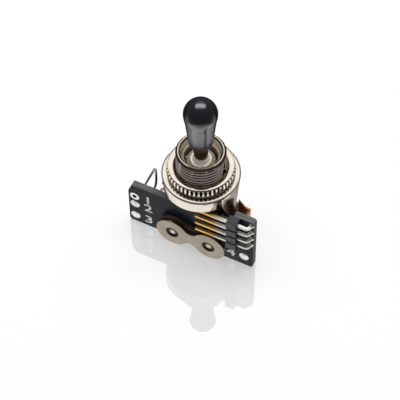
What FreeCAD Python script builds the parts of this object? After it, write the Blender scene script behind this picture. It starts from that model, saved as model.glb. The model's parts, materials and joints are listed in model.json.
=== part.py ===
"""Three-position toggle selector for an electric guitar, with leaf contacts and a plug-in circuit board.

The frame of the part: Z is the toggle's axis and points up, X runs along the circuit board to the right,
Y points away from the viewer. The origin is on the toggle's axis, on the face of the frame that seats
against the panel. The switch stands on the lower edge of its board and on the ends of its leaf stack.
"""
import FreeCAD, Part
import math
import os

Vec = FreeCAD.Vector
X_AXIS, Y_AXIS, Z_AXIS = Vec(1, 0, 0), Vec(0, 1, 0), Vec(0, 0, 1)

# General fits
run_clear = 0.07          # turning and sliding fits, on the radius
free_clear = 0.05         # holes that something only passes through, on the radius
over = 1.0                # how far a cutting tool runs past the face it cuts

# Bushing
thread_r = 5.95
rim_height = 8.5          # above the seat
rim_chamfer = 0.5
thread_pitch = 1.0
thread_depth = 0.45
thread_groove = 0.66      # width of each groove at the thread's crests
thread_root = 0.1         # width of each groove at its floor
thread_start = 0.5        # above the seat
bushing_wall = 2.05       # from the thread in to the ball's bore
mouth_flare = 0.95        # by how much the mouth is wider than the bore, on the radius
mouth_depth = 2.0
mouth_lip = 0.4           # chamfer inside the rim
shank_step = 0.95         # from the thread in to the shank that passes through the frame
stake_step = 0.25         # from the thread in to the staked edge under the frame
stake_depth = 0.8
keyway_width = 1.2
keyway_depth = 0.7
keyway_angle = 6.0
keyway_below_rim = 1.6

# Nut and washer
nut_wall = 2.05           # from the thread out to the knurl
nut_height = 2.8
nut_mouth_flare = 0.85
nut_mouth_depth = 0.6
knurl_teeth = 48
knurl_depth = 0.5
knurl_crest = 0.42        # width of each tooth across its crest
knurl_root = 0.16         # width of each gap at its floor
nut_land = 0.35           # plain rim above and below the knurl
nut_land_inset = 0.1      # of the plain rims inside the knurl
washer_overhang = 0.15    # past the frame's edge
washer_thick = 0.7

# Frame
frame_flange = 3.25       # from the thread out to the frame's edge
frame_sheet = 1.2
skirt_depth = 3.0         # how far the turned-down edge reaches below the seat
skirt_wall = 1.0
skirt_end_angle = 41.0    # from the X axis to where the turned-down edge stops
leg_set_in = 1.3          # from the frame's edge in to the outer face of each leg
leg_top_half = 4.9
leg_bend_r = 1.6
leg_foot_front = 0.6      # the leg's lower end, from the axis plane to its front edge
leg_foot_back = 2.4
leg_foot_gap = 0.15       # between the leg's lower end and the clamped layers
ear_r = 3.6

# Lever
pivot_height = 3.45       # of the pivot pin above the seat
pin_r = 0.8
pin_inset = 0.55          # of the pin's ends inside the thread
lever_reach = 18.2        # from the pivot up to the middle of the tip's ball
shaft_r = 1.7
shaft_past_centre = 0.15  # how far the shaft reaches above the middle of the tip's ball
stem_r = 1.5
rivet_lap = 0.5           # of the riveted end over the sleeve
rivet_height = 0.35
sleeve_drop = 1.5         # from the bushing's lower end down to the sleeve
sleeve_length = 2.75
sleeve_gap = 0.15         # between the sleeve and each long leaf
tip_ball_r = 3.98
tip_length = 13.9
tip_skirt_r = 2.85        # of the skirt's open end
tip_waist_r = 3.88        # of the skirt's taper, at the middle of the ball
tip_edge = 0.4

# Leaf stack, as distances along Y outwards from the frame's ears
inner_gap = 0.8
leaf_sheet = 0.4
contact_gap = 0.8
outer_gap = 1.05
board_thick = 1.6
front_gap = 1.0
plate_sheet = 1.0
stack_x = 0.65            # middle of the two clamping screws from the toggle's axis
screw_spacing = 9.7
plate_lobe_r = 4.25
plate_waist = 1.9
plate_fillet = 1.5
insulator_trim = 0.05     # by how much the insulators are smaller than the clamping plates
insulator_waist = 3.2
screw_r = 1.25
screw_head_r = 2.2
screw_head_height = 1.3
screw_slot_width = 0.6
screw_slot_depth = 0.6
screw_end_inset = 0.3
screw_sink = 0.45         # countersink at the tapped end
tube_wall = 0.65

# Leaves and contacts
leaf_half_width = 3.0
leaf_lobe_trim = 0.55     # by how much a leaf's foot is smaller than the clamping plates
leaf_waist = 2.6
leaf_corner_r = 1.0
long_leaf_drop = 0.65     # from the sleeve's upper end down to the long leaves' ends
short_leaf_drop = 1.0     # from the sleeve's lower end down to the short leaves' ends
contact_drop = 1.5        # from the short leaves' ends down to the contacts
contact_r = 1.15

# Solder lugs, heights from the clamping screws
lug_width = 2.2
lug_hole_r = 0.6
short_front_lug_in = 3.4  # from the board's left edge to the lug's end
short_front_lug_rise = 1.8
long_front_lug_in = 2.1
long_front_lug_rise = -1.9
short_rear_lug_in = 4.7
short_rear_lug_rise = 1.3
flag_gap = 0.7            # between the right leg and the flag lug
flag_width = 3.2
flag_strip = 2.6          # width of the strip that leads to the flag
flag_strip_rise = -0.35
flag_shoulder_rise = 6.4
flag_peak_rise = 8.3
flag_slope = 1.7          # along X, from the flag's peak down to its shoulder

# Plug header
header_pitch = 2.54
header_count = 4
header_side_gap = 0.6     # from the front plate's right lobe to the header body
header_width = 2.55
header_depth = 2.54
header_notch = 0.35
pin_side = 0.64
pin_stand_off = 1.3       # from the board's face to the middle of the pins
pin_over_plate = 0.39     # between the lowest pin and the front plate's lobes
pin_free_length = 8.45
pin_bend_r = 0.9
header_to_tails = 2.8
tail_hole_r = 0.5
tail_through = 0.6
joint_r = 0.8
joint_rise = 0.45

# Circuit board
board_left_wing = 8.45    # from the front plate's left lobe to the board's left edge
tail_inset = 0.8          # from the header's tails to the board's right edge
board_top_gap = 0.35      # between the frame's turned-down edge and the board's raised end
board_low_step = 3.9      # from the raised end down to the board's long upper edge
board_step_gap = 3.4      # from the right leg to the raised end
board_corner_x = 1.0
board_corner_z = 2.6
board_corner_r = 0.8
wire_hole_r = 0.55
pad_r = 1.25
pad_rise = 0.4
left_pad_inset = 1.7      # from the board's left edge to the pads
upper_pad_height = 10.1   # pad heights above the board's lower edge
middle_pad_height = 7.0
lower_pad_height = 2.5
right_pad_height = 3.2
right_pad_inset = 2.35

# Bare link wire behind the board
link_r = 0.35
link_rise = 1.4           # of its peak above the board's long upper edge
link_lap = 1.8            # length of the wire's end that lies on the lug
link_bend_r = 0.8

# Radii that follow from the thread
bore_r = thread_r - bushing_wall
ball_r = bore_r - run_clear
mouth_r = bore_r + mouth_flare
shank_r = thread_r - shank_step
stake_r = thread_r - stake_step
nut_r = thread_r + nut_wall
nut_mouth_r = thread_r + nut_mouth_flare
frame_r = thread_r + frame_flange
washer_r = frame_r + washer_overhang
leg_face = frame_r - leg_set_in
pin_half = thread_r - pin_inset

# Depths of the stack's layers
ear_half = frame_sheet / 2
inner_leaf_at = ear_half + inner_gap
outer_leaf_at = inner_leaf_at + leaf_sheet + contact_gap
outer_insulator_at = outer_leaf_at + leaf_sheet
board_back = -(outer_insulator_at + outer_gap)
board_front = board_back - board_thick
front_plate_back = board_front - front_gap
front_plate_face = front_plate_back - plate_sheet
rear_plate_front = outer_insulator_at + outer_gap
rear_plate_face = rear_plate_front + plate_sheet
tube_r = screw_r + free_clear + tube_wall
sleeve_r = outer_leaf_at - sleeve_gap

# Heights, from the seat down
nut_top = washer_thick + nut_height
bushing_low = -frame_sheet - stake_depth
sleeve_top = bushing_low - sleeve_drop
sleeve_low = sleeve_top - sleeve_length
long_leaf_top = sleeve_top - long_leaf_drop
short_leaf_top = sleeve_low - short_leaf_drop
contact_z = short_leaf_top - contact_drop
board_high_z = -skirt_depth - board_top_gap
board_low_z = board_high_z - board_low_step
pin_zs = [board_high_z - header_pitch * (i + 0.5) for i in range(header_count)]
stack_z = pin_zs[-1] - pin_side / 2 - pin_over_plate - plate_lobe_r
leg_foot = stack_z + plate_lobe_r + leg_foot_gap
floor = stack_z - plate_lobe_r

# Heights, from the pivot up
tip_ball_z = pivot_height + lever_reach
tip_foot = tip_ball_z + tip_ball_r - tip_length
shaft_top = tip_ball_z + shaft_past_centre

# Places along X
screw_xs = {"left": stack_x - screw_spacing / 2, "right": stack_x + screw_spacing / 2}
header_left = screw_xs["right"] + plate_lobe_r + header_side_gap
header_right = header_left + header_width
tail_x = header_right + header_to_tails
pin_left = header_left - pin_free_length
board_left = screw_xs["left"] - plate_lobe_r - board_left_wing
board_right = tail_x + tail_inset
board_step_x = leg_face + board_step_gap
left_pad_x = board_left + left_pad_inset
right_pad_x = board_right - right_pad_inset
leaf_lobe_r = plate_lobe_r - leaf_lobe_trim


def box(x0, x1, y0, y1, z0, z1):
    """Box between two corners, given as pairs along each axis."""
    return Part.makeBox(x1 - x0, y1 - y0, z1 - z0, Vec(x0, y0, z0))


def rod(radius, start, end):
    """Cylinder from one point to another."""
    return Part.makeCylinder(radius, (end - start).Length, start, end - start)


def arc(a, b, c):
    """Arc edge through three points."""
    return Part.Arc(a, b, c).toShape()


def line(a, b):
    """Straight edge."""
    return Part.makeLine(a, b)


def lathe(outline):
    """Solid turned about the toggle's axis from (radius, height) corners."""
    points = [Vec(r, 0, z) for r, z in outline]
    face = Part.Face(Part.makePolygon(points + points[:1]))
    return face.revolve(Vec(0, 0, 0), Z_AXIS, 360)


def sheet(corners, y0, y1):
    """Flat sheet parallel to the board, from (x, z) corners, between two depths."""
    points = [Vec(x, y0, z) for x, z in corners]
    face = Part.Face(Part.makePolygon(points + points[:1]))
    return face.extrude(Vec(0, y1 - y0, 0))


def dumbbell(lobe_r, waist, fillet, y0, y1):
    """Clamping-plate outline: a round lobe about each screw and a waist between them, filleted."""
    d = screw_spacing / 2
    reach = lobe_r + fillet
    fillet_x = max(d - math.sqrt(reach ** 2 - (waist + fillet) ** 2), 0.0)
    touch_x = fillet_x + (d - fillet_x) * fillet / reach
    touch_z = (waist + fillet) * (1 - fillet / reach)
    below = (math.atan2(waist + fillet - touch_z, touch_x - fillet_x) + math.pi / 2) / 2

    def corner(sx, sz, point):
        return Vec(stack_x + sx * point.x, y0, stack_z + sz * point.z)

    on_waist = Vec(fillet_x, 0, waist)
    on_lobe = Vec(touch_x, 0, touch_z)
    between = Vec(fillet_x + fillet * math.cos(below), 0, waist + fillet * (1 - math.sin(below)))
    lobe_end = Vec(d + lobe_r, 0, 0)
    edges = []
    for sx, sz in ((1, 1), (-1, 1), (-1, -1), (1, -1)):
        edges.append(arc(corner(sx, sz, on_waist), corner(sx, sz, between), corner(sx, sz, on_lobe)))
    for sz in (1, -1):
        if fillet_x > 1e-6:
            edges.append(line(corner(1, sz, on_waist), corner(-1, sz, on_waist)))
    for sx in (1, -1):
        edges.append(arc(corner(sx, 1, on_lobe), corner(sx, 1, lobe_end), corner(sx, -1, on_lobe)))
    wire = Part.Wire(Part.__sortEdges__(edges))
    return Part.Face(wire).extrude(Vec(0, y1 - y0, 0))


def screw_holes(radius, y0, y1):
    """The two clamping-screw holes through a layer of the stack."""
    holes = [rod(radius, Vec(x, y0 - over, stack_z), Vec(x, y1 + over, stack_z)) for x in screw_xs.values()]
    return holes[0].fuse(holes[1])


def mirrored(side, inner, outer):
    """Depths of a layer on the front (-1) or rear (+1) side, smaller first."""
    return tuple(sorted((side * inner, side * outer)))


def frame():
    """Stamped frame: round top with a turned-down edge, two tapered legs and an inward ear on each."""
    top = Part.makeCylinder(frame_r, frame_sheet, Vec(0, 0, -frame_sheet))
    ring = Part.makeCylinder(frame_r, skirt_depth, Vec(0, 0, -skirt_depth))
    ring = ring.cut(Part.makeCylinder(frame_r - skirt_wall, skirt_depth, Vec(0, 0, -skirt_depth)))
    reach = 2 * frame_r
    half = math.radians(skirt_end_angle)
    for side in (1, -1):
        far = [Vec(0, 0, -skirt_depth - over)]
        for turn in (half, 0, -half):
            far.append(Vec(side * reach * math.cos(turn), reach * math.sin(turn), -skirt_depth - over))
        wedge = Part.Face(Part.makePolygon(far + far[:1]))
        ring = ring.cut(wedge.extrude(Vec(0, 0, skirt_depth + over - frame_sheet)))
    body = top.fuse(ring)
    for side in (1, -1):
        outside = box(leg_face, leg_face + frame_r, -frame_r, frame_r, -skirt_depth - over, over)
        if side < 0:
            outside = outside.mirror(Vec(0, 0, 0), X_AXIS)
        body = body.cut(outside)
    body = body.fuse([leg(1), leg(-1)]).removeSplitter()
    body = body.cut(rod(shank_r, Vec(0, 0, -frame_sheet - over), Vec(0, 0, over)))
    return body.cut(screw_holes(tube_r + free_clear, -ear_half, ear_half))


def leg(side):
    """One leg with its bend at the top, its taper, and the ear that the leaf stack is clamped to."""
    outline = [Vec(0, -leg_top_half, 0), Vec(0, leg_top_half, 0), Vec(0, leg_top_half, -skirt_depth),
               Vec(0, leg_foot_back, leg_foot), Vec(0, -leg_foot_front, leg_foot),
               Vec(0, -leg_top_half, -skirt_depth)]
    outline = [p + Vec(leg_face - frame_sheet, 0, 0) for p in outline]
    plate = Part.Face(Part.makePolygon(outline + outline[:1])).extrude(Vec(frame_sheet, 0, 0))
    bend = box(leg_face - leg_bend_r, leg_face + over, -frame_r, frame_r, -leg_bend_r, over)
    bend = bend.cut(rod(leg_bend_r, Vec(leg_face - leg_bend_r, -frame_r - over, -leg_bend_r),
                        Vec(leg_face - leg_bend_r, frame_r + over, -leg_bend_r)))
    plate = plate.cut(bend)
    hole_x = screw_xs["right"] if side > 0 else -screw_xs["left"]
    ear = box(hole_x, leg_face, -ear_half, ear_half, stack_z - ear_r, leg_foot)
    ear = ear.fuse(rod(ear_r, Vec(hole_x, -ear_half, stack_z), Vec(hole_x, ear_half, stack_z)))
    piece = plate.fuse(ear)
    return piece if side > 0 else piece.mirror(Vec(0, 0, 0), X_AXIS)


def thread_grooves(low, high):
    """Corners of the thread's turns, from the bottom up, as rings of one pitch that stand for the helix."""
    corners = []
    turns = int((high - low) / thread_pitch)
    floor_r = thread_r - thread_depth
    for i in range(turns):
        middle = high - thread_pitch * (turns - i - 0.5)
        corners += [(thread_r, middle - thread_groove / 2), (floor_r, middle - thread_root / 2),
                    (floor_r, middle + thread_root / 2), (thread_r, middle + thread_groove / 2)]
    return corners


def bushing():
    """Threaded bushing, staked into the frame, with a flared mouth, the ball's bore and a keyway."""
    thread_end = rim_height - rim_chamfer
    body = lathe([
        (bore_r, bushing_low), (stake_r, bushing_low), (stake_r, -frame_sheet), (shank_r, -frame_sheet),
        (shank_r, 0), (thread_r, 0), *thread_grooves(thread_start, thread_end), (thread_r, thread_end),
        (thread_r - rim_chamfer, rim_height), (mouth_r + mouth_lip, rim_height),
        (mouth_r, rim_height - mouth_lip), (bore_r, rim_height - mouth_depth),
    ])
    body = body.cut(rod(pin_r, Vec(-thread_r - over, 0, pivot_height), Vec(thread_r + over, 0, pivot_height)))
    groove = box(thread_r - keyway_depth, thread_r + over, -keyway_width / 2, keyway_width / 2,
                 nut_top - nut_mouth_depth, rim_height - keyway_below_rim)
    groove.rotate(Vec(0, 0, 0), Z_AXIS, keyway_angle)
    return body.cut(groove)


def washer():
    """Flat washer between the frame and the nut."""
    ring = Part.makeCylinder(washer_r, washer_thick)
    return ring.cut(Part.makeCylinder(thread_r + 2 * free_clear, washer_thick))


def knurled_nut():
    """Round nut with a straight knurl between two plain rims and a countersunk mouth."""
    half_pitch = math.pi / knurl_teeth
    root = nut_r - knurl_depth
    land_r = nut_r - nut_land_inset
    core_r = root - knurl_depth
    inner = thread_r + free_clear
    core = lathe([
        (inner, washer_thick), (root, washer_thick), (root, nut_top), (nut_mouth_r, nut_top),
        (inner, nut_top - nut_mouth_depth),
    ])
    crest_half, root_half = knurl_crest / 2 / nut_r, knurl_root / 2 / root
    corners = []
    for i in range(knurl_teeth):
        tooth, gap = 2 * i * half_pitch, (2 * i + 1) * half_pitch
        for radius, turn in ((nut_r, tooth - crest_half), (nut_r, tooth + crest_half),
                             (root, gap - root_half), (root, gap + root_half)):
            corners.append(Vec(radius * math.cos(turn), radius * math.sin(turn), washer_thick + nut_land))
    star = Part.Face(Part.makePolygon(corners + corners[:1]))
    band = star.extrude(Vec(0, 0, nut_height - 2 * nut_land))
    band = band.cut(Part.makeCylinder(core_r, nut_height, Vec(0, 0, washer_thick)))
    rims = [lathe([(core_r, z), (land_r, z), (land_r, z + nut_land), (core_r, z + nut_land)])
            for z in (washer_thick, nut_top - nut_land)]
    return core.fuse([band] + rims).removeSplitter()


def lever():
    """Turned lever: shaft, pivot ball with a cross hole, and a stem riveted over below the sleeve."""
    pivot = Vec(0, 0, pivot_height)
    stem_end = Vec(0, 0, sleeve_low)
    body = Part.makeSphere(ball_r, pivot).fuse([
        rod(shaft_r, pivot, Vec(0, 0, shaft_top)),
        rod(stem_r, stem_end, pivot),
        rod(stem_r + rivet_lap, stem_end - Vec(0, 0, rivet_height), stem_end),
    ])
    hole = rod(pin_r + run_clear, pivot - Vec(ball_r + over, 0, 0), pivot + Vec(ball_r + over, 0, 0))
    return body.cut(hole)


def pivot_pin():
    """Cross pin that the lever turns on, held in the bushing's wall."""
    return rod(pin_r, Vec(-pin_half, 0, pivot_height), Vec(pin_half, 0, pivot_height))


def actuator_sleeve():
    """Moulded sleeve on the lever's stem that pushes the long leaves."""
    ends = Vec(0, 0, sleeve_low), Vec(0, 0, sleeve_top)
    return rod(sleeve_r, *ends).cut(rod(stem_r, *ends))


def lever_tip():
    """Moulded tip: a ball that runs into a tapered skirt with a rounded foot, pushed onto the shaft."""
    skirt = Part.makeCone(tip_skirt_r, tip_waist_r, tip_ball_z - tip_foot, Vec(0, 0, tip_foot))
    foot = min((e for e in skirt.Edges if len(e.Vertexes) == 1), key=lambda e: e.Vertexes[0].Z)
    skirt = skirt.makeFillet(tip_edge, [foot])
    body = Part.makeSphere(tip_ball_r, Vec(0, 0, tip_ball_z)).fuse(skirt)
    return body.cut(rod(shaft_r, Vec(0, 0, tip_foot - over), Vec(0, 0, shaft_top)))


def clamp_plate_front():
    """Front clamping plate, tapped for the screws and countersunk over their ends."""
    plate = dumbbell(plate_lobe_r, plate_waist, plate_fillet, front_plate_face, front_plate_back)
    plate = plate.cut(screw_holes(screw_r, front_plate_face, front_plate_back))
    for x in screw_xs.values():
        plate = plate.cut(Part.makeCone(screw_r + screw_sink, screw_r, screw_sink,
                                        Vec(x, front_plate_face, stack_z), Y_AXIS))
    return plate


def clamp_plate_rear():
    """Rear clamping plate under the screw heads."""
    plate = dumbbell(plate_lobe_r, plate_waist, plate_fillet, rear_plate_front, rear_plate_face)
    return plate.cut(screw_holes(screw_r + free_clear, rear_plate_front, rear_plate_face))


def clamp_screw(x):
    """Clamping screw with a slotted cheese head at the rear."""
    head_end = rear_plate_face + screw_head_height
    body = rod(screw_r, Vec(x, front_plate_face + screw_end_inset, stack_z), Vec(x, rear_plate_face, stack_z))
    body = body.fuse(rod(screw_head_r, Vec(x, rear_plate_face, stack_z), Vec(x, head_end, stack_z)))
    slot = box(x - screw_head_r - 1, x + screw_head_r + 1, head_end - screw_slot_depth, head_end + 1,
               stack_z - screw_slot_width / 2, stack_z + screw_slot_width / 2)
    return body.cut(slot)


def insulating_tube(x):
    """Tube that keeps a clamping screw clear of the leaves."""
    ends = Vec(x, board_front, stack_z), Vec(x, rear_plate_front, stack_z)
    return rod(tube_r, *ends).cut(rod(screw_r + free_clear, *ends))


def insulator(y0, y1):
    """Fibre spacer of the leaf stack."""
    layer = dumbbell(plate_lobe_r - insulator_trim, insulator_waist, plate_fillet, y0, y1)
    return layer.cut(screw_holes(tube_r + free_clear, y0, y1))


def board_insulator():
    """Fibre spacer between the board and the front clamping plate."""
    ends = front_plate_back, board_front
    layer = dumbbell(plate_lobe_r - insulator_trim, insulator_waist, plate_fillet, *ends)
    return layer.cut(screw_holes(screw_r + free_clear, *ends))


def leaf(side, depth, top, lug):
    """Leaf spring: clamped foot, blade and solder lug, all from one flat sheet."""
    y0, y1 = mirrored(side, depth, depth + leaf_sheet)
    foot = dumbbell(leaf_lobe_r, leaf_waist, plate_fillet, y0, y1)
    blade = box(-leaf_half_width, leaf_half_width, y0, y1, stack_z, top)
    along_y = [e for e in blade.Edges if abs(e.tangentAt(e.FirstParameter).y) > 0.5]
    blade = blade.makeFillet(leaf_corner_r, [e for e in along_y if e.CenterOfMass.z > stack_z])
    body = foot.fuse([blade, lug(y0, y1)]).removeSplitter()
    return body.cut(screw_holes(tube_r + free_clear, y0, y1))


def side_lug(inset, rise):
    """Straight solder lug to the left with a round, pierced end."""
    radius = lug_width / 2
    x, z = board_left + inset + radius, stack_z + rise

    def make(y0, y1):
        strip = box(x, screw_xs["left"], y0, y1, z - radius, z + radius)
        strip = strip.fuse(rod(radius, Vec(x, y0, z), Vec(x, y1, z)))
        return strip.cut(rod(lug_hole_r, Vec(x, y0 - over, z), Vec(x, y1 + over, z)))

    return make


def flag_lug(y0, y1):
    """Flag-shaped solder lug to the right that rises beside the leg."""
    inner = leg_face + flag_gap
    outer = inner + flag_width
    strip_top, strip_low = flag_strip_rise + flag_strip / 2, flag_strip_rise - flag_strip / 2
    corners = [(screw_xs["right"], strip_low), (outer, strip_low), (outer, flag_shoulder_rise),
               (inner + flag_slope, flag_shoulder_rise), (inner, flag_peak_rise), (inner, strip_top),
               (screw_xs["right"], strip_top)]
    return sheet([(x, stack_z + z) for x, z in corners], y0, y1)


def contact(side, depth, outward):
    """Silver contact button on a leaf, from the leaf's face to the middle of the gap."""
    start = Vec(0, side * depth, contact_z)
    return rod(contact_r, start, start + Vec(0, side * outward * contact_gap / 2, 0))


def circuit_board():
    """Board with its raised right end, wire holes, tail holes and clamping-screw holes."""
    body = sheet([
        (board_left, floor), (board_right, floor), (board_right, board_high_z), (board_step_x, board_high_z),
        (board_step_x, board_low_z), (board_left + board_corner_x, board_low_z),
        (board_left, board_low_z - board_corner_z),
    ], board_front, board_back)
    ends = [e for e in body.Edges if abs(e.tangentAt(e.FirstParameter).y) > 0.5
            and (e.CenterOfMass.x > board_right - over or e.CenterOfMass.x < board_left + board_corner_x / 2)]
    body = body.makeFillet(board_corner_r, ends)
    body = body.cut(screw_holes(tube_r + free_clear, board_front, board_back))
    holes = [(wire_hole_r, x, z) for x, z in wire_holes()] + [(tail_hole_r, tail_x, z) for z in pin_zs]
    for radius, x, z in holes:
        body = body.cut(rod(radius, Vec(x, board_front - over, z), Vec(x, board_back + over, z)))
    return body


def wire_holes():
    """Centres of the wire pads: three at the left, one at the right."""
    left = [(left_pad_x, floor + h) for h in (upper_pad_height, middle_pad_height, lower_pad_height)]
    return left + [(right_pad_x, floor + right_pad_height)]


def header_pin(z):
    """Square pin: a long straight end to the left, a bend, and a tail through the board."""
    half = pin_side / 2
    y = board_front - pin_stand_off
    inner, outer = pin_bend_r - half, pin_bend_r + half
    centre = Vec(tail_x - pin_bend_r, y + pin_bend_r, z - half)
    straight = box(pin_left, centre.x, y - half, y + half, z - half, z + half)
    bend = Part.makeCylinder(outer, pin_side, centre, Z_AXIS)
    bend = bend.cut(Part.makeCylinder(inner, pin_side, centre, Z_AXIS))
    bend = bend.common(box(centre.x, centre.x + outer, centre.y - outer, centre.y, z - half, z + half))
    tail = box(tail_x - half, tail_x + half, centre.y, board_back + tail_through, z - half, z + half)
    return straight.fuse([bend, tail]).removeSplitter()


def header_body():
    """Moulded header body with a notch between each two cells."""
    face = board_front - header_depth
    high, low = pin_zs[0] + header_pitch / 2, pin_zs[-1] - header_pitch / 2
    body = box(header_left, header_right, face, board_front, low, high)
    wide = header_notch + over
    for z in pin_zs[1:]:
        between = z + header_pitch / 2
        corners = [Vec(header_left - over, face - over, between + wide),
                   Vec(header_left - over, face + header_notch, between),
                   Vec(header_left - over, face - over, between - wide)]
        section = Part.Face(Part.makePolygon(corners + corners[:1]))
        body = body.cut(section.extrude(Vec(header_width + 2 * over, 0, 0)))
    for z in pin_zs:
        body = body.cut(header_pin(z))
    return body


def header_solder():
    """Solder at each tail: a cone on both faces of the board and the filled hole between them."""
    joints = []
    for z in pin_zs:
        front = Part.makeCone(joint_r, tail_hole_r, joint_rise, Vec(tail_x, board_front, z), -Y_AXIS)
        back = Part.makeCone(joint_r, tail_hole_r, joint_rise, Vec(tail_x, board_back, z), Y_AXIS)
        fill = rod(tail_hole_r, Vec(tail_x, board_front, z), Vec(tail_x, board_back, z))
        joints.append(fill.fuse([front, back]).cut(header_pin(z)))
    return Part.makeCompound(joints)


def pad_solder():
    """Solder domes on the three filled wire pads. The upper left pad is open."""
    ball = (pad_r ** 2 + pad_rise ** 2) / (2 * pad_rise)
    domes = []
    for x, z in wire_holes()[1:]:
        dome = Part.makeSphere(ball, Vec(x, board_front + ball - pad_rise, z))
        dome = dome.common(box(x - pad_r, x + pad_r, board_front - pad_rise, board_front,
                               z - pad_r, z + pad_r))
        domes.append(dome.fuse(rod(wire_hole_r, Vec(x, board_front, z), Vec(x, board_back, z))))
    return Part.makeCompound(domes)


def bent_wire(points, bend_r, radius):
    """Round wire along straight runs joined by tangent arcs."""
    edges = []
    start = points[0]
    for i in range(1, len(points) - 1):
        before = (points[i] - points[i - 1]).normalize()
        after = (points[i + 1] - points[i]).normalize()
        turn = before.getAngle(after)
        setback = bend_r * math.tan(turn / 2)
        arc_in = points[i] - before * setback
        arc_out = points[i] + after * setback
        inward = (after - before).normalize()
        middle = points[i] + inward * (bend_r / math.cos(turn / 2) - bend_r)
        edges += [line(start, arc_in), arc(arc_in, middle, arc_out)]
        start = arc_out
    edges.append(line(start, points[-1]))
    path = Part.Wire(edges)
    section = Part.Wire(Part.makeCircle(radius, points[0], points[1] - points[0]))
    return path.makePipeShell([section], True, False)


def link_wire():
    """Bare wire from a filled pad, up behind the board and down onto the front common leaf's lug."""
    against_lug = -(inner_leaf_at + leaf_sheet + link_r)
    pad_z = floor + middle_pad_height
    over_lug_x = board_left + short_front_lug_in + lug_width / 2
    lug_top = stack_z + short_front_lug_rise + lug_width / 2
    points = [
        Vec(left_pad_x, board_back, pad_z),
        Vec(left_pad_x, against_lug, pad_z),
        Vec(over_lug_x, against_lug, board_low_z + link_rise),
        Vec(over_lug_x, against_lug, lug_top - link_lap),
    ]
    return bent_wire(points, link_bend_r, link_r)


def parts():
    """Every piece by name."""
    made = {
        "frame": frame(),
        "bushing": bushing(),
        "panel_washer": washer(),
        "knurled_nut": knurled_nut(),
        "lever": lever(),
        "pivot_pin": pivot_pin(),
        "actuator_sleeve": actuator_sleeve(),
        "lever_tip": lever_tip(),
        "clamp_plate_front": clamp_plate_front(),
        "clamp_plate_rear": clamp_plate_rear(),
        "board_insulator": board_insulator(),
        "circuit_board": circuit_board(),
        "header_body": header_body(),
        "header_solder": header_solder(),
        "pad_solder": pad_solder(),
        "link_wire": link_wire(),
    }
    for name, x in screw_xs.items():
        made[f"clamp_screw_{name}"] = clamp_screw(x)
        made[f"insulating_tube_{name}"] = insulating_tube(x)
    for i, z in enumerate(pin_zs, 1):
        made[f"header_pin_{i}"] = header_pin(z)
    lugs = {
        ("front", "short"): side_lug(short_front_lug_in, short_front_lug_rise),
        ("front", "long"): side_lug(long_front_lug_in, long_front_lug_rise),
        ("rear", "short"): side_lug(short_rear_lug_in, short_rear_lug_rise),
        ("rear", "long"): flag_lug,
    }
    for name, side in (("front", -1), ("rear", 1)):
        layers = {"inner": (ear_half, inner_gap), "middle": (inner_leaf_at + leaf_sheet, contact_gap),
                  "outer": (outer_insulator_at, outer_gap)}
        for layer, (start, thick) in layers.items():
            made[f"insulator_{name}_{layer}"] = insulator(*mirrored(side, start, start + thick))
        made[f"leaf_{name}_short"] = leaf(side, inner_leaf_at, short_leaf_top, lugs[name, "short"])
        made[f"leaf_{name}_long"] = leaf(side, outer_leaf_at, long_leaf_top, lugs[name, "long"])
        made[f"contact_{name}_short"] = contact(side, inner_leaf_at + leaf_sheet, 1)
        made[f"contact_{name}_long"] = contact(side, outer_leaf_at, -1)
    return made


os.makedirs("parts", exist_ok=True)
for node, shape in parts().items():
    shape.exportStep(f"parts/{node}.step")
    solids = len(shape.Solids)
    print(f"{node:26s} solids {solids} volume {shape.Volume:9.3f} valid {shape.isValid()}")
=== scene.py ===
import json
import math

import bmesh
import bpy
from mathutils import Matrix, Vector


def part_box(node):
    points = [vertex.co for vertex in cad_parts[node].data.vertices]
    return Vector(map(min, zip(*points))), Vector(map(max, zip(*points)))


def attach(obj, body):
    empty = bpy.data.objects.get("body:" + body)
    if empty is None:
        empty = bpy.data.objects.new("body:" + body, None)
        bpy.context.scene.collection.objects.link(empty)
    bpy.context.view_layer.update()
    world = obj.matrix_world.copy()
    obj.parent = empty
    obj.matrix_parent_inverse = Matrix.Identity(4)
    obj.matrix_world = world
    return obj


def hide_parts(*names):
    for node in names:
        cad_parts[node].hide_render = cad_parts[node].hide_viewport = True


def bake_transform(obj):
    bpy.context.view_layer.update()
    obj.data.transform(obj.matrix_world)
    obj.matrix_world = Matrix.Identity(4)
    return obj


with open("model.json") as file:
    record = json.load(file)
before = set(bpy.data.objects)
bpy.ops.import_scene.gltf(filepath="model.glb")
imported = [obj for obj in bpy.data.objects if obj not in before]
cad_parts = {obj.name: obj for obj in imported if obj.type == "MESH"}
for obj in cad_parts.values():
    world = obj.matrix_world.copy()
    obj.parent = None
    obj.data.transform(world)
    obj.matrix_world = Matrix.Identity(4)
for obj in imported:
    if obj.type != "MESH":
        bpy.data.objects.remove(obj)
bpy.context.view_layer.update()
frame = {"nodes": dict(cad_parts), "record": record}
nodes = frame["nodes"]
scene = bpy.context.scene
MM = 0.001

# Sizes that the dressing shares with the solids, in millimetres
FLOOR = -21.45
THREAD_R = 5.95
RIM = 8.5
PITCH = 1.0
WASHER_TOP = 0.7
NUT_TOP = 3.5
PIVOT = 3.45
BOARD_FRONT = -5.65
BOARD_BACK = -4.05
WIRE_PADS = [(-15.2, -11.35), (-15.2, -14.45), (-15.2, -18.95), (14.15, -18.25)]
SCREW_XS = (-4.2, 5.5)
SCREW_Z = -17.2

# The photograph's viewing direction, in degrees
VIEW_AZIMUTH, VIEW_ELEVATION, VIEW_ROLL = 27.024, 53.773, -0.7


def mm(*point):
    """A place given in millimetres."""
    return Vector(point) * MM


# Modelling by hand


def deselect():
    """Nothing selected, so that the next operator acts on one piece only."""
    bpy.ops.object.select_all(action="DESELECT")


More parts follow.
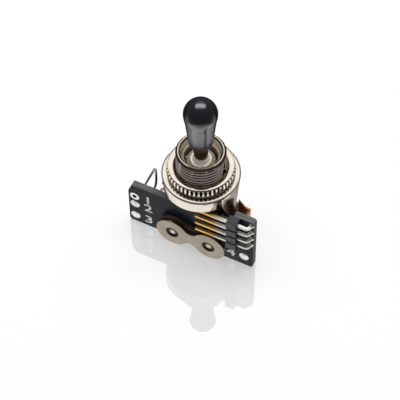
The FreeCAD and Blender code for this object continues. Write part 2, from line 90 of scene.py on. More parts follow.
def pick(obj):
    """One piece selected and active."""
    deselect()
    obj.select_set(True)
    bpy.context.view_layer.objects.active = obj


def edit(obj, kind="FACE"):
    """Opens a piece in edit mode with nothing selected and gives its mesh."""
    pick(obj)
    bpy.ops.object.mode_set(mode="EDIT")
    bpy.ops.mesh.select_mode(type=kind)
    bpy.ops.mesh.select_all(action="DESELECT")
    return bmesh.from_edit_mesh(obj.data)


def close_edit():
    """Leaves edit mode."""
    bpy.ops.object.mode_set(mode="OBJECT")


def settle(obj, angle=35):
    """Puts the piece's place into its mesh and smooths it across shallow angles."""
    pick(obj)
    bpy.ops.object.transform_apply(location=True, rotation=True, scale=True)
    bpy.ops.object.shade_smooth_by_angle(angle=math.radians(angle))
    return obj


def apply_all(obj):
    """Makes the piece's modifiers part of its mesh."""
    pick(obj)
    for modifier in list(obj.modifiers):
        bpy.ops.object.modifier_apply(modifier=modifier.name)


def added(name):
    """The primitive just added, under its own name."""
    obj = bpy.context.active_object
    obj.name = name
    obj.data.name = name
    return obj


def finish_piece(obj, body, slot, material, *replaced):
    """Gives a piece its finish, its body and the solids it stands for."""
    obj.data.materials.clear()
    obj.data.materials.append(material)
    if body:
        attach(obj, body)
    if replaced:
        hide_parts(*replaced)
    return obj


# Effects that several finishes share


def new_group(name, inputs, outputs):
    """A shader node group with named sockets, and its input and output nodes."""
    group = bpy.data.node_groups.new(name, "ShaderNodeTree")
    for label, kind, value in inputs:
        socket = group.interface.new_socket(label, in_out="INPUT", socket_type=kind)
        if value is not None:
            socket.default_value = value
    for label, kind in outputs:
        group.interface.new_socket(label, in_out="OUTPUT", socket_type=kind)
    given = group.nodes.new("NodeGroupInput")
    result = group.nodes.new("NodeGroupOutput")
    return group, given.outputs, result.inputs


class Nodes:
    """Short names for adding and joining nodes in one tree."""

    def __init__(self, tree):
        self.tree = tree

    def add(self, kind, **settings):
        node = self.tree.nodes.new(kind)
        for key, value in settings.items():
            setattr(node, key, value)
        return node

    def join(self, source, target):
        self.tree.links.new(source, target)

    def put(self, socket, value):
        """A link where the value is a socket, and otherwise the socket's own number."""
        if isinstance(value, bpy.types.NodeSocket):
            self.join(value, socket)
        else:
            socket.default_value = value

    def math(self, operation, a, b=None, clamp=False):
        node = self.add("ShaderNodeMath", operation=operation, use_clamp=clamp)
        self.put(node.inputs[0], a)
        if b is not None:
            self.put(node.inputs[1], b)
        return node.outputs[0]

    def noise(self, vector, scale, detail=3.0, roughness=0.5, distortion=0.0):
        node = self.add("ShaderNodeTexNoise")
        self.join(vector, node.inputs["Vector"])
        self.put(node.inputs["Scale"], scale)
        node.inputs["Detail"].default_value = detail
        node.inputs["Roughness"].default_value = roughness
        node.inputs["Distortion"].default_value = distortion
        return node.outputs["Fac"]

    def span(self, value, low, high, to_low=0.0, to_high=1.0):
        """A value brought from one range to another, clamped."""
        node = self.add("ShaderNodeMapRange")
        for socket, number in zip(node.inputs, (value, low, high, to_low, to_high)):
            self.put(socket, number)
        return node.outputs[0]

    def mix(self, share, a, b):
        """A colour between two."""
        node = self.add("ShaderNodeMix", data_type="RGBA")
        self.put(node.inputs[0], share)
        self.put(node.inputs[6], a)
        self.put(node.inputs[7], b)
        return node.outputs[2]

    def place(self, scale=(1, 1, 1), location=(0, 0, 0), kind="Object"):
        """The piece's own coordinates, stretched or moved."""
        coordinates = self.add("ShaderNodeTexCoord")
        mapping = self.add("ShaderNodeMapping")
        self.join(coordinates.outputs[kind], mapping.inputs["Vector"])
        mapping.inputs["Scale"].default_value = scale
        mapping.inputs["Location"].default_value = location
        return mapping.outputs["Vector"]

    def bump(self, height, strength, distance, normal=None):
        node = self.add("ShaderNodeBump")
        node.inputs["Strength"].default_value = strength
        node.inputs["Distance"].default_value = distance
        self.join(height, node.inputs["Height"])
        if normal is not None:
            self.join(normal, node.inputs["Normal"])
        return node.outputs["Normal"]

    def group(self, group, **values):
        node = self.add("ShaderNodeGroup", node_tree=group)
        for label, value in values.items():
            self.put(node.inputs[label.replace("_", " ")], value)
        return node.outputs


COLOUR, NUMBER, VECTOR = "NodeSocketColor", "NodeSocketFloat", "NodeSocketVector"


def handling_group():
    """Faint fingermarks and hairlines on plated or moulded surfaces: a roughness and a height."""
    group, given, result = new_group(
        "handling marks",
        [("Vector", VECTOR, None), ("Grain", NUMBER, 900.0), ("Roughness", NUMBER, 0.2),
         ("Spread", NUMBER, 0.1)],
        [("Roughness", NUMBER), ("Height", NUMBER)])
    n = Nodes(group)
    smears = n.noise(given["Vector"], 160.0, 4.0, 0.6, 0.4)
    hairs = n.add("ShaderNodeTexNoise")
    stretch = n.add("ShaderNodeVectorMath", operation="MULTIPLY")
    n.join(given["Vector"], stretch.inputs[0])
    stretch.inputs[1].default_value = (1.0, 1.0, 0.06)
    n.join(stretch.outputs[0], hairs.inputs["Vector"])
    n.join(given["Grain"], hairs.inputs["Scale"])
    hairs.inputs["Detail"].default_value = 5.0
    hairs.inputs["Roughness"].default_value = 0.7
    both = n.math("ADD", n.math("MULTIPLY", smears, 0.7), n.math("MULTIPLY", hairs.outputs["Fac"], 0.3))
    centred = n.math("SUBTRACT", both, 0.5)
    swing = n.math("MULTIPLY", given["Spread"], 3.0)
    rough = n.math("ADD", given["Roughness"], n.math("MULTIPLY", centred, swing))
    n.join(n.math("MAXIMUM", rough, 0.02), result["Roughness"])
    n.join(hairs.outputs["Fac"], result["Height"])
    return group


def plating_group():
    """Slow drift between a plated metal's clean and tarnished tones."""
    group, given, result = new_group(
        "plating tone",
        [("Vector", VECTOR, None), ("Clean", COLOUR, (0.8, 0.8, 0.8, 1)),
         ("Tarnish", COLOUR, (0.5, 0.4, 0.3, 1)), ("Amount", NUMBER, 0.3)],
        [("Color", COLOUR)])
    n = Nodes(group)
    drift = n.noise(given["Vector"], 220.0, 5.0, 0.6, 0.8)
    share = n.math("MULTIPLY", n.span(drift, 0.38, 0.72), given["Amount"])
    n.join(n.mix(share, given["Clean"], given["Tarnish"]), result["Color"])
    return group


def turned_group():
    """A point's distance from the toggle's axis and its height above the seat, in millimetres."""
    group, given, result = new_group(
        "turned place", [("Vector", VECTOR, None)], [("Radius", NUMBER), ("Height", NUMBER)])
    n = Nodes(group)
    part = n.add("ShaderNodeSeparateXYZ")
    n.join(given["Vector"], part.inputs[0])
    across = n.math("MULTIPLY", part.outputs["X"], part.outputs["X"])
    along = n.math("MULTIPLY", part.outputs["Y"], part.outputs["Y"])
    n.join(n.math("MULTIPLY", n.math("SQRT", n.math("ADD", across, along)), 1000.0), result["Radius"])
    n.join(n.math("MULTIPLY", part.outputs["Z"], 1000.0), result["Height"])
    return group


HANDLING = handling_group()
PLATING = plating_group()
TURNED = turned_group()


def material(name):
    """An empty node material: its shader and its node helper."""
    made = bpy.data.materials.new(name)
    made.use_nodes = True
    return made, Nodes(made.node_tree), made.node_tree.nodes["Principled BSDF"]


def plated(name, clean, tarnish, amount, rough, spread, grain=900.0, relief=0.08, stretch=(1, 1, 1)):
    """Plated or bare metal with tarnish, fingermarks and hairlines."""
    made, n, shader = material(name)
    where = n.place(scale=stretch)
    tone = n.group(PLATING, Vector=where, Clean=(*clean, 1), Tarnish=(*tarnish, 1), Amount=amount)
    marks = n.group(HANDLING, Vector=where, Grain=grain, Roughness=rough, Spread=spread)
    n.join(tone["Color"], shader.inputs["Base Color"])
    shader.inputs["Metallic"].default_value = 1.0
    n.join(marks["Roughness"], shader.inputs["Roughness"])
    n.join(n.bump(marks["Height"], relief, 0.00002), shader.inputs["Normal"])
    return made


def turned_metal(name, clean, tarnish, amount, rough, spread, shade, satin=(0.0, 0.1, 0.0), metal=1.0):
    """Plated metal about the toggle's axis.

    Shade colours it by radius and height, mostly with painted shade in its grooves and on its edges,
    satin dulls it within a radius, and metal is less than 1 where a matt film lies over the plating.
    """
    made, n, shader = material(name)
    where = n.place()
    tone = n.group(PLATING, Vector=where, Clean=(*clean, 1), Tarnish=(*tarnish, 1), Amount=amount)
    marks = n.group(HANDLING, Vector=where, Grain=900.0, Roughness=rough, Spread=spread)
    place = n.group(TURNED, Vector=where)
    n.join(shade(n, place["Radius"], place["Height"], tone["Color"]), shader.inputs["Base Color"])
    shader.inputs["Metallic"].default_value = metal
    dull = n.span(place["Radius"], satin[0], satin[1], satin[2], 0.0)
    n.join(n.math("ADD", marks["Roughness"], dull), shader.inputs["Roughness"])
    n.join(n.bump(marks["Height"], 0.06, 0.00002), shader.inputs["Normal"])
    return made


def bushing_painted_light(n, radius, height, tone):
    """Painted shade in the thread's roots with light crests as painted highlights, and painted shade on the
    chamfer and lip on both sides of the bright rim and down the bore.
    """
    # Painted light on the thread: dark roots as painted shade, light crests as painted highlights.
    crest = n.span(radius, 5.68, 5.78)
    thread = n.mix(crest, (0.05, 0.03, 0.024, 1), (0.86, 0.74, 0.68, 1))
    # Painted shade on the outer chamfer above the thread.
    chamfer = n.span(height, 7.97, 8.03)
    outer = n.mix(chamfer, thread, (0.10, 0.08, 0.065, 1))
    # Painted shade on the lip inside the rim and down the bore round the ball.
    lip = n.math("MULTIPLY", n.span(radius, 4.82, 4.9), n.span(radius, 5.17, 5.21, 1.0, 0.0))
    bore = n.mix(n.span(radius, 3.98, 4.06), (0.22, 0.16, 0.11, 1), tone)
    inner = n.mix(lip, bore, (0.16, 0.12, 0.09, 1))
    return n.mix(n.span(radius, 5.43, 5.47), inner, outer)


def nut_painted_light(n, radius, height, tone):
    """Painted shade between the knurl's teeth, with light crests, painted shade on the side of the upper rim,
    and a lighter painted shade in the countersink.
    """
    # Painted shade in the knurl's roots, light on its crests.
    crest = n.span(radius, 7.76, 7.92)
    knurl = n.mix(crest, (0.03, 0.02, 0.014, 1), (0.92, 0.86, 0.78, 1))
    band = n.math("MULTIPLY", n.span(height, 0.98, 1.02), n.span(height, 3.10, 3.13, 1.0, 0.0))
    # Painted shade on the side of the rim above the knurl.
    rim = n.mix(n.span(radius, 7.74, 7.79), tone, (0.12, 0.095, 0.07, 1))
    outside = n.mix(band, rim, knurl)
    side = n.mix(n.span(height, 3.42, 3.46), outside, tone)
    # Painted shade in the countersink round the thread.
    return n.mix(n.span(radius, 6.2, 6.7), (0.50, 0.45, 0.34, 1), side)


def washer_painted_shade(n, radius, height, tone):
    """Painted shade on the outer edge: dark brown."""
    return n.mix(n.span(radius, 9.29, 9.33), tone, (0.11, 0.08, 0.06, 1))


def frame_painted_shade(n, radius, height, tone):
    """Painted shade on the legs: dark brown below the top."""
    return n.mix(n.span(height, -3.5, -3.0), (0.21, 0.16, 0.11, 1), tone)


def lever_shade(n, radius, height, tone):
    """A darker brown on the shaft above the polished ball."""
    above = n.span(height, 6.9, 7.3)
    shaft = n.span(radius, 1.71, 1.75, 1.0, 0.0)
    return n.mix(n.math("MULTIPLY", above, shaft), tone, (0.20, 0.13, 0.09, 1))


def plate_finish(name, clean, tarnish, inner, outer):
    """Satin plate or screw: its tone, with a ring of painted shade in front round each of the two screw ends.
    """
    made, n, shader = material(name)
    where = n.place()
    tone = n.group(PLATING, Vector=where, Clean=(*clean, 1), Tarnish=(*tarnish, 1), Amount=0.6)
    marks = n.group(HANDLING, Vector=where, Grain=1600.0, Roughness=0.3, Spread=0.12)
    offsets = []
    for x in SCREW_XS:
        centred = n.place(location=mm(-x, 0, -SCREW_Z))
        flat = n.add("ShaderNodeVectorMath", operation="MULTIPLY")
        n.join(centred, flat.inputs[0])
        flat.inputs[1].default_value = (1.0, 0.0, 1.0)
        length = n.add("ShaderNodeVectorMath", operation="LENGTH")
        n.join(flat.outputs[0], length.inputs[0])
        offsets.append(length.outputs["Value"])
    near = n.math("MULTIPLY", n.math("MINIMUM", *offsets), 1000.0)
    ring = n.math("MULTIPLY", n.span(near, inner - 0.12, inner), n.span(near, outer, outer + 0.12, 1.0, 0.0))
    part = n.add("ShaderNodeSeparateXYZ")
    n.join(where, part.inputs[0])
    front = n.span(part.outputs["Y"], -0.0056, -0.0052, 1.0, 0.0)
    # Painted shade in the recess round each screw end.
    painted_shade_ring = n.math("MULTIPLY", ring, front)
    n.join(n.mix(painted_shade_ring, tone["Color"], (0.04, 0.03, 0.022, 1)), shader.inputs["Base Color"])
    shader.inputs["Metallic"].default_value = 1.0
    n.join(marks["Roughness"], shader.inputs["Roughness"])
    n.join(n.bump(marks["Height"], 0.2, 0.00002), shader.inputs["Normal"])
    return made


def moulded(name, tone, lighter, rough, spread, grain, relief, coat=0.0, shine=0.5):
    """Moulded plastic or fibre with a fine skin texture."""
    made, n, shader = material(name)
    where = n.place()
    tones = n.group(PLATING, Vector=where, Clean=(*tone, 1), Tarnish=(*lighter, 1), Amount=0.6)
    marks = n.group(HANDLING, Vector=where, Grain=grain, Roughness=rough, Spread=spread)
    n.join(tones["Color"], shader.inputs["Base Color"])
    n.join(marks["Roughness"], shader.inputs["Roughness"])
    shader.inputs["Coat Weight"].default_value = coat
    shader.inputs["Coat Roughness"].default_value = 0.06
    shader.inputs["Specular IOR Level"].default_value = shine
    skin = n.noise(where, grain * 2.5, 2.0)
    n.join(n.bump(skin, relief, 0.00003), shader.inputs["Normal"])
    return made


def tip_finish():
    """Glossy black plastic, a little duller on the skirt, where its colour is lifted to a streaked grey as
    painted sheen.
    """
    made, n, shader = material("black tip, painted sheen on skirt")
    where = n.place()
    place = n.group(TURNED, Vector=where)
    skirt_height = n.math("ADD", place["Height"], n.math("MULTIPLY", n.noise(where, 500.0, 4.0, 0.6), 0.8))
    # Painted sheen: the skirt's colour is lifted to grey, with streaks along its height.
    skirt = n.span(skirt_height, 19.0, 22.0, 1.0, 0.0)
    sheen_streaks = n.noise(n.place(scale=(1, 1, 0.12)), 900.0, 4.0, 0.7)
    painted_sheen = n.mix(n.span(sheen_streaks, 0.3, 0.7), (0.016, 0.016, 0.022, 1), (0.034, 0.034, 0.044, 1))
    n.join(n.mix(skirt, (0.004, 0.004, 0.006, 1), painted_sheen), shader.inputs["Base Color"])
    marks = n.group(HANDLING, Vector=where, Grain=700.0, Roughness=0.19, Spread=0.05)
    n.join(n.math("ADD", marks["Roughness"], n.math("MULTIPLY", skirt, 0.05)), shader.inputs["Roughness"])
    n.join(n.bump(n.noise(where, 1750.0, 2.0), 0.03, 0.00003), shader.inputs["Normal"])
    return made


def board_finish():
    """Black solder mask on both faces and bare glass laminate along the cut edges."""
    made, n, shader = material("board mask and laminate")
    where = n.place()
    facing = n.add("ShaderNodeSeparateXYZ")
    n.join(n.add("ShaderNodeTexCoord").outputs["Normal"], facing.inputs[0])
    face = n.span(n.math("ABSOLUTE", facing.outputs["Y"]), 0.6, 0.9)
    mask = n.group(PLATING, Vector=where, Clean=(0.009, 0.011, 0.017, 1), Tarnish=(0.016, 0.020, 0.030, 1),
                   Amount=0.8)
    layers = n.noise(n.place(scale=(0.2, 6.0, 0.2)), 900.0, 3.0)
    edge = n.mix(n.span(layers, 0.35, 0.65), (0.05, 0.055, 0.06, 1), (0.11, 0.115, 0.115, 1))
    n.join(n.mix(face, edge, mask["Color"]), shader.inputs["Base Color"])
    marks = n.group(HANDLING, Vector=where, Grain=700.0, Roughness=0.28, Spread=0.08)
    rough = n.math("ADD", n.math("MULTIPLY", n.math("SUBTRACT", 1.0, face), 0.3), marks["Roughness"])
    n.join(rough, shader.inputs["Roughness"])
    shader.inputs["Specular IOR Level"].default_value = 0.1
    weave = n.noise(where, 3200.0, 1.0)
    n.join(n.bump(weave, 0.06, 0.00002), shader.inputs["Normal"])
    return made


def pin_finish():
    """Header pin: gold at the plug's end, drawn-up tin towards the board."""
    made, n, shader = material("header pin plating")
    where = n.place()
    along = n.add("ShaderNodeSeparateXYZ")
    n.join(where, along.inputs[0])
    drift = n.math("MULTIPLY", n.math("SUBTRACT", n.noise(where, 700.0, 3.0), 0.5), 0.0035)
    share = n.span(n.math("ADD", along.outputs["X"], drift), 0.0062, 0.0088)
    n.join(n.mix(share, (0.86, 0.52, 0.16, 1), (0.72, 0.70, 0.66, 1)), shader.inputs["Base Color"])
    shader.inputs["Metallic"].default_value = 0.6
    marks = n.group(HANDLING, Vector=n.place(scale=(0.08, 1, 1)), Grain=2600.0, Roughness=0.3, Spread=0.12)
    n.join(marks["Roughness"], shader.inputs["Roughness"])
    n.join(n.bump(marks["Height"], 0.15, 0.00003), shader.inputs["Normal"])
    return made


def print_ink():
    """White printed ink, a little uneven in tone and gloss."""
    made, n, shader = material("white print")
    where = n.place()
    tone = n.mix(n.noise(where, 1800.0, 3.0), (0.70, 0.71, 0.73, 1), (0.84, 0.85, 0.86, 1))
    n.join(tone, shader.inputs["Base Color"])
    n.join(n.span(n.noise(where, 1400.0, 2.0), 0.3, 0.7, 0.45, 0.6), shader.inputs["Roughness"])
    return made


NICKEL = (0.90, 0.84, 0.75)
WORN_NICKEL = (0.66, 0.56, 0.44)
FINISH = {
    "frame_nickel": turned_metal(
        "frame nickel", (0.84, 0.78, 0.70), (0.58, 0.49, 0.39), 0.4, 0.2, 0.1, frame_painted_shade),
    "bright_nickel": turned_metal("bright nickel nut", NICKEL, WORN_NICKEL, 0.35, 0.08, 0.04, nut_painted_light),
    "plate_nickel": plate_finish("satin plate nickel", (0.36, 0.31, 0.25), (0.22, 0.18, 0.14), 0.1, 1.64),
    "lever_steel": turned_metal(
        "satin lever", (0.92, 0.86, 0.77), (0.70, 0.60, 0.48), 0.3, 0.25, 0.08, lever_shade, metal=0.82),
    "tip_black": tip_finish(),
    "sleeve_nylon": moulded("natural nylon", (0.78, 0.76, 0.70), (0.70, 0.66, 0.58), 0.42, 0.1, 800.0, 0.1),
    "tube_clear": moulded("tube", (0.62, 0.58, 0.48), (0.5, 0.46, 0.38), 0.36, 0.1, 800.0, 0.05),
    "fibre_dark": moulded("dark fibre", (0.045, 0.026, 0.017), (0.10, 0.06, 0.035), 0.6, 0.15, 1400.0, 0.4),
    "spring_bronze": plated(
        "spring bronze", (0.72, 0.36, 0.19), (0.42, 0.17, 0.09), 0.6, 0.28, 0.14, 1500.0, 0.15),
    "contact_silver": plated("contact silver", (0.90, 0.89, 0.86), (0.6, 0.56, 0.5), 0.4, 0.18, 0.08),
    "board_black": board_finish(),
    "header_black": moulded(
        "header moulding", (0.020, 0.021, 0.026), (0.035, 0.037, 0.045), 0.38, 0.1, 1200.0, 0.15),
    "pin_gold": pin_finish(),
    "solder": plated("bright solder", (0.80, 0.80, 0.78), (0.55, 0.54, 0.52), 0.6, 0.2, 0.16, 700.0, 0.5),
    "tinned_wire": plated("tinned wire", (0.72, 0.70, 0.66), (0.5, 0.47, 0.42), 0.5, 0.26, 0.12, 1500.0, 0.2),
}
BUSHING_NICKEL = turned_metal(
    "bright nickel bushing", NICKEL, WORN_NICKEL, 0.35, 0.1, 0.05, bushing_painted_light, (4.84, 4.96, 0.1), 0.9)
WASHER_NICKEL = turned_metal(
    "bright nickel washer", (0.88, 0.82, 0.73), (0.62, 0.53, 0.42), 0.4, 0.08, 0.04, washer_painted_shade)
SCREW_STEEL = plate_finish("cut screw ends", (0.62, 0.57, 0.49), (0.24, 0.19, 0.14), 0.74, 1.4)
INK = print_ink()


# Finishes on the solids that stay
slot_of = {s["node"]: s["material_slot"] for s in frame["record"]["subparts"]}
body_of = {node: body for body, members in frame["record"]["behaviour"]["bodies"].items() for node in members}
for name, obj in nodes.items():
    obj.data.materials.clear()
    obj.data.materials.append(FINISH[slot_of[name]])
own_finish = {"clamp_screw_left": SCREW_STEEL, "clamp_screw_right": SCREW_STEEL}

# How wide each sheared or moulded edge is broken, in millimetres
BROKEN_EDGES = {
    "frame": 0.12, "clamp_plate_front": 0.1, "clamp_plate_rear": 0.1,
    "circuit_board": 0.06, "header_body": 0.08, "clamp_screw_left": 0.08, "clamp_screw_right": 0.08,
    "leaf_front_short": 0.04, "leaf_rear_short": 0.04, "actuator_sleeve": 0.12,
}


def keep_flat(piece):
    """Normals that follow the larger faces, so that a flat face stays flat up to its broken edge."""
    even = piece.modifiers.new("even normals", "WEIGHTED_NORMAL")
    even.mode = "FACE_AREA"
    even.weight = 90
    even.thresh = 0.0
    even.keep_sharp = True
    apply_all(piece)


def softened(node, width, segments=2):
    """A merged copy of a solid with its sharp edges broken, which stands for it."""
    piece = bpy.data.objects.new(node + "_softened", nodes[node].data.copy())
    scene.collection.objects.link(piece)
    edit(piece)
    bpy.ops.mesh.select_all(action="SELECT")
    bpy.ops.mesh.remove_doubles(threshold=0.000001)
    bpy.ops.mesh.select_all(action="SELECT")
    bpy.ops.mesh.dissolve_limited(angle_limit=math.radians(0.5))
    close_edit()
    broken = piece.modifiers.new("broken edges", "BEVEL")
    broken.width = width * MM
    broken.segments = segments
    broken.limit_method = "ANGLE"
    broken.angle_limit = math.radians(38)
    broken.use_clamp_overlap = True
    apply_all(piece)
    settle(piece, 40)
    keep_flat(piece)
    finish = own_finish.get(node, FINISH[slot_of[node]])
    return finish_piece(piece, body_of[node], slot_of[node], finish, node)


for node, width in BROKEN_EDGES.items():
    softened(node, width)


# Pieces of the toggle's neck


def turned_piece(name, outline, steps):
    """A ring of points laid on the outline, which is turned about the toggle's axis."""
    bpy.ops.mesh.primitive_circle_add(vertices=len(outline), radius=MM, location=(0, 0, 0))
    piece = added(name)
    mesh = edit(piece, "VERT")
    mesh.verts.ensure_lookup_table()
    for vert, (r, z) in zip(mesh.verts, outline):
        vert.co = mm(r, 0, z)
    for edge in mesh.edges:
        if all(vert.co.x < 1e-7 for vert in edge.verts):
            edge.select = True
    bmesh.update_edit_mesh(piece.data)
    bpy.ops.mesh.select_mode(type="EDGE")
    bpy.ops.mesh.delete(type="EDGE")
    bpy.ops.mesh.select_all(action="SELECT")
    bpy.ops.mesh.spin(steps=steps, angle=2 * math.pi, center=(0, 0, 0), axis=(0, 0, 1))
    bpy.ops.mesh.select_all(action="SELECT")
    bpy.ops.mesh.remove_doubles(threshold=0.000002)
    bpy.ops.mesh.select_all(action="SELECT")
    bpy.ops.mesh.normals_make_consistent(inside=False)
    return piece


def threaded_bushing():
    """Bushing turned from its outline, with the thread's helix, the groove along it and the pin holes."""
    bore, mouth, shank, stake = 3.9, 4.85, 5.0, 5.7
    outline = [(bore, -2.0), (stake - 0.2, -2.0), (stake, -1.8), (stake, -1.2), (shank, -1.2), (shank, 0.0),
               (THREAD_R - 0.3, 0.0)]
    rows = 84
    low, high = 0.35, RIM - 0.5
    outline += [(THREAD_R, low + (high - low) * i / rows) for i in range(rows + 1)]
    outline += [(THREAD_R - 0.44, RIM - 0.06), (THREAD_R - 0.52, RIM), (mouth + 0.42, RIM),
                (mouth + 0.34, RIM - 0.06), (mouth, RIM - 0.4), (bore + 0.1, 6.66), (bore, 6.4)]
    piece = turned_piece("threaded_bushing", outline, 192)
    mesh = bmesh.from_edit_mesh(piece.data)
    depth = 0.42
    for vert in mesh.verts:
        r, z = math.hypot(vert.co.x, vert.co.y) / MM, vert.co.z / MM
        if abs(r - THREAD_R) < 0.01 and low <= z <= high + 0.001:
            turn = math.atan2(vert.co.y, vert.co.x) / (2 * math.pi)
            phase = ((z / PITCH) - turn) % 1.0
            ridge = min(1.0, max(0.0, 2.3 * abs(phase - 0.5) - 0.1))
            fade = min(1.0, (z - low) / 0.3, (high - z) / 0.12)
            r_new = THREAD_R - depth * (1 - ridge) * max(fade, 0.0)
            vert.co.x *= r_new / r
            vert.co.y *= r_new / r
    bmesh.update_edit_mesh(piece.data)
    bpy.ops.mesh.normals_make_consistent(inside=False)
    close_edit()
    cutters = []
    for sign in (1, -1):
        bpy.ops.mesh.primitive_cylinder_add(vertices=40, radius=0.8 * MM, depth=2.6 * MM,
                                            location=mm(sign * 5.3, 0, PIVOT), rotation=(0, math.pi / 2, 0))
        cutters.append(added(f"pin_hole_{sign}"))
    turn = math.radians(6.0)
    groove_r = 6.2
    bpy.ops.mesh.primitive_cube_add(size=1.0, rotation=(0, 0, turn),
                                    location=mm(groove_r * math.cos(turn), groove_r * math.sin(turn), PIVOT))
    slot = added("groove_tool")
    slot.scale = mm(1.9, 1.2, 6.9)
    cutters.append(slot)
    for cutter in cutters:
        cut = piece.modifiers.new("cut", "BOOLEAN")
        cut.operation = "DIFFERENCE"
        cut.solver = "EXACT"
        cut.object = cutter
        apply_all(piece)
        bpy.data.objects.remove(cutter)
    return settle(piece, 32)


bushing = finish_piece(threaded_bushing(), "switch_body", "bright_nickel", BUSHING_NICKEL, "bushing")


def rolled_washer():
    """Flat washer whose upper edge rolls over where it was punched out."""
    outline = [(6.15, 0.0), (9.22, 0.0), (9.31, 0.04), (9.35, 0.13), (9.35, 0.4), (9.32, 0.5), (9.24, 0.57),
               (9.1, 0.63), (8.92, 0.675), (8.72, WASHER_TOP), (6.25, WASHER_TOP), (6.15, 0.62)]
    piece = turned_piece("rolled_washer", outline, 144)
    close_edit()
    return settle(piece, 30)


finish_piece(rolled_washer(), "switch_body", "bright_nickel", WASHER_NICKEL, "panel_washer")


def toothed_nut():
    """Nut built up in rings from its foot: square-ended teeth between two plain rims, and a sunk mouth."""
    teeth = 48
    pitch = 2 * math.pi / teeth
    crest_half, root_half = 0.026, 0.011
    turns = []
    for i in range(teeth):
        turns += [(i * pitch - crest_half, True), (i * pitch + crest_half, True),
                  ((i + 0.5) * pitch - root_half, False), ((i + 0.5) * pitch + root_half, False)]
    crest_r, root_r, bore_r = 8.17, 7.56, 6.0
    rings = [(7.5, 7.5, WASHER_TOP), (7.66, 7.66, 0.84), (7.66, 7.66, 1.05), (8.08, root_r, 1.06),
             (crest_r, root_r, 1.16), (crest_r, root_r, 2.98), (8.13, root_r, 3.07), (8.06, root_r, 3.1),
             (7.86, root_r, 3.1), (7.86, 7.86, 3.105), (7.86, 7.86, 3.38), (7.83, 7.83, 3.46),
             (7.76, 7.76, NUT_TOP), (6.75, 6.75, NUT_TOP), (6.45, 6.45, 3.44), (6.2, 6.2, 3.31),
             (6.06, 6.06, 3.12), (bore_r, bore_r, 2.9), (bore_r, bore_r, WASHER_TOP)]
    bpy.ops.mesh.primitive_circle_add(vertices=4 * teeth, radius=8 * MM, location=(0, 0, 0))
    piece = added("toothed_nut")
    mesh = edit(piece, "EDGE")
    mesh.verts.ensure_lookup_table()
    for vert, (turn, _) in zip(mesh.verts, turns):
        vert.co = mm(8 * math.cos(turn), 8 * math.sin(turn), 0)
    bmesh.update_edit_mesh(piece.data)
    bpy.ops.mesh.select_all(action="SELECT")
    for i, (crest, root, z) in enumerate(rings):
        if i:
            bpy.ops.mesh.extrude_region_move()
        mesh = bmesh.from_edit_mesh(piece.data)
        for vert in mesh.verts:
            if vert.select:
                turn = math.atan2(vert.co.y, vert.co.x)
                on_crest = abs((turn / pitch + 0.5) % 1.0 - 0.5) < 0.3
                r = crest if on_crest else root
                vert.co = mm(r * math.cos(turn), r * math.sin(turn), z)
        bmesh.update_edit_mesh(piece.data)
    bpy.ops.mesh.select_all(action="DESELECT")
    mesh = bmesh.from_edit_mesh(piece.data)
    for edge in mesh.edges:
        edge.select = edge.is_boundary
    bmesh.update_edit_mesh(piece.data)
    bpy.ops.mesh.bridge_edge_loops()
    bpy.ops.mesh.select_all(action="SELECT")
    bpy.ops.mesh.normals_make_consistent(inside=False)
    close_edit()
    settle(piece, 35)
    keep_flat(piece)
    return piece


finish_piece(toothed_nut(), "nut", "bright_nickel", FINISH["bright_nickel"], "knurled_nut")


def moulded_tip():
    """Black tip: a ball that runs smoothly into its tapered skirt, with a rounded foot round the shaft."""
    middle, ball, foot, foot_r, waist_r, shaft = 21.65, 3.98, 11.73, 2.85, 3.88, 1.7

    def taper(z):
        """The skirt's radius at a height."""
        return foot_r + (waist_r - foot_r) * (z - foot) / (middle - foot)

    outline = [(shaft, middle + 0.15), (shaft, foot), (foot_r - 0.37, foot), (foot_r - 0.24, foot + 0.03),
               (foot_r - 0.1, foot + 0.11), (taper(foot + 0.24) - 0.03, foot + 0.24),
               (taper(foot + 0.42), foot + 0.42)]
    outline += [(taper(z), z) for z in (12.8, 14.0, 15.2, 16.4, 17.6)]
    lean, high = math.radians(3), middle - ball * math.sin(math.radians(3))
    slope, low = math.atan((waist_r - foot_r) / (middle - foot)), 18.6
    reach = high - low
    for i in range(13):
        t = i / 12
        low_share, high_share = 2 * t ** 3 - 3 * t ** 2 + 1, 3 * t ** 2 - 2 * t ** 3
        low_turn, high_turn = t ** 3 - 2 * t ** 2 + t, t ** 3 - t ** 2
        r = low_share * taper(low) + high_share * ball * math.cos(lean)
        r += reach * (low_turn * math.tan(slope) + high_turn * math.tan(lean))
        outline.append((r, low + reach * t))
    for angle in range(0, 90, 3):
        rise = math.radians(angle)
        outline.append((ball * math.cos(rise), middle + ball * math.sin(rise)))
    outline += [(0, middle + ball), (0, middle + 0.15)]
    piece = turned_piece("moulded_tip", outline, 128)
    close_edit()
    return settle(piece, 60)


tip = finish_piece(moulded_tip(), "lever", "tip_black", FINISH["tip_black"], "lever_tip")


